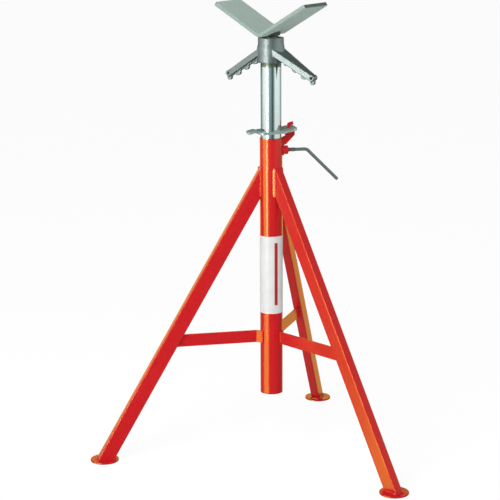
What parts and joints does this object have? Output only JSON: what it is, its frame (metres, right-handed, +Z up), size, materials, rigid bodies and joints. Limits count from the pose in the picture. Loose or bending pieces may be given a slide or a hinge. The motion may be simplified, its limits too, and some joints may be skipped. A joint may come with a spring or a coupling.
{
  "type": "pipe jack stand",
  "caption": "High pipe stand: welded tripod, sliding inner tube held by a jam plate and lock screw, and a wing nut that raises a V saddle on a screw.",
  "frame": {"origin": "on the floor under the tubes' axis", "axes": "+Z up along the tubes' axis, +X towards the hook bracket and the lock screw"},
  "size_m": [0.5649, 0.6436, 0.8946],
  "materials": {
    "red_paint": "gloss",
    "zinc_tube": "bright zinc plate",
    "zinc_plate": "satin zinc plate",
    "jam_zinc": "zinc plate, bright edges",
    "casting": "as cast, zinc plated",
    "rod_steel": "dull zinc plate",
    "washer_steel": "machined, oiled",
    "screw_steel": "rolled thread, greased",
    "fastener_zinc": "zinc plate",
    "label_vinyl": "satin"
  },
  "bodies": {
    "stand": {"outer_tube": "red_paint", "leg_1": "red_paint", "leg_2": "red_paint", "leg_3": "red_paint", "foot_1": "red_paint", "foot_2": "red_paint", "foot_3": "red_paint", "brace_1": "red_paint", "brace_2": "red_paint", "brace_3": "red_paint", "label": "label_vinyl", "lock_nut": "red_paint", "hook_bracket": "red_paint"},
    "post": {"inner_tube": "zinc_tube", "tube_bushing": "washer_steel"},
    "swivel": {"thrust_washer": "washer_steel"},
    "nut": {"wing_nut": "casting"},
    "head": {"jack_screw": "screw_steel", "saddle_boss": "zinc_plate", "v_saddle": "zinc_plate", "screw_stop": "fastener_zinc", "stop_bolt": "fastener_zinc"},
    "jam_plate": {"jam_plate": "jam_zinc"},
    "lock_screw": {"lock_screw": "rod_steel"}
  },
  "joints": [
    {"name": "post_slide", "type": "slide", "parent": "stand", "child": "post", "axis": [0, 0, 1], "range_m": [-0.095, 0.39]},
    {"name": "head_swivel", "type": "hinge", "parent": "post", "child": "swivel", "pos_m": [0, 0, 0.7766], "axis": [0, 0, 1], "continuous": true},
    {"name": "nut_spin", "type": "hinge", "parent": "swivel", "child": "nut", "pos_m": [0, 0, 0.7796], "axis": [0, 0, -1], "range_deg": [0, 6300]},
    {"name": "saddle_lift", "type": "slide", "parent": "swivel", "child": "head", "axis": [0, 0, 1], "range_m": [0, 0.0889]},
    {"name": "jam_plate_tilt", "type": "hinge", "parent": "stand", "child": "jam_plate", "pos_m": [0.04461, 0, 0.64739], "axis": [0, 1, 0], "range_deg": [0, 5]},
    {"name": "lock_screw_turn", "type": "hinge", "parent": "stand", "child": "lock_screw", "pos_m": [0.0472, 0, 0.609], "axis": [1, 0, 0], "range_deg": [0, 360]}
  ],
  "couplings": [
    {"joint": "saddle_lift", "follows": "nut_spin", "m_per_rad": 0.0008085}
  ]
}
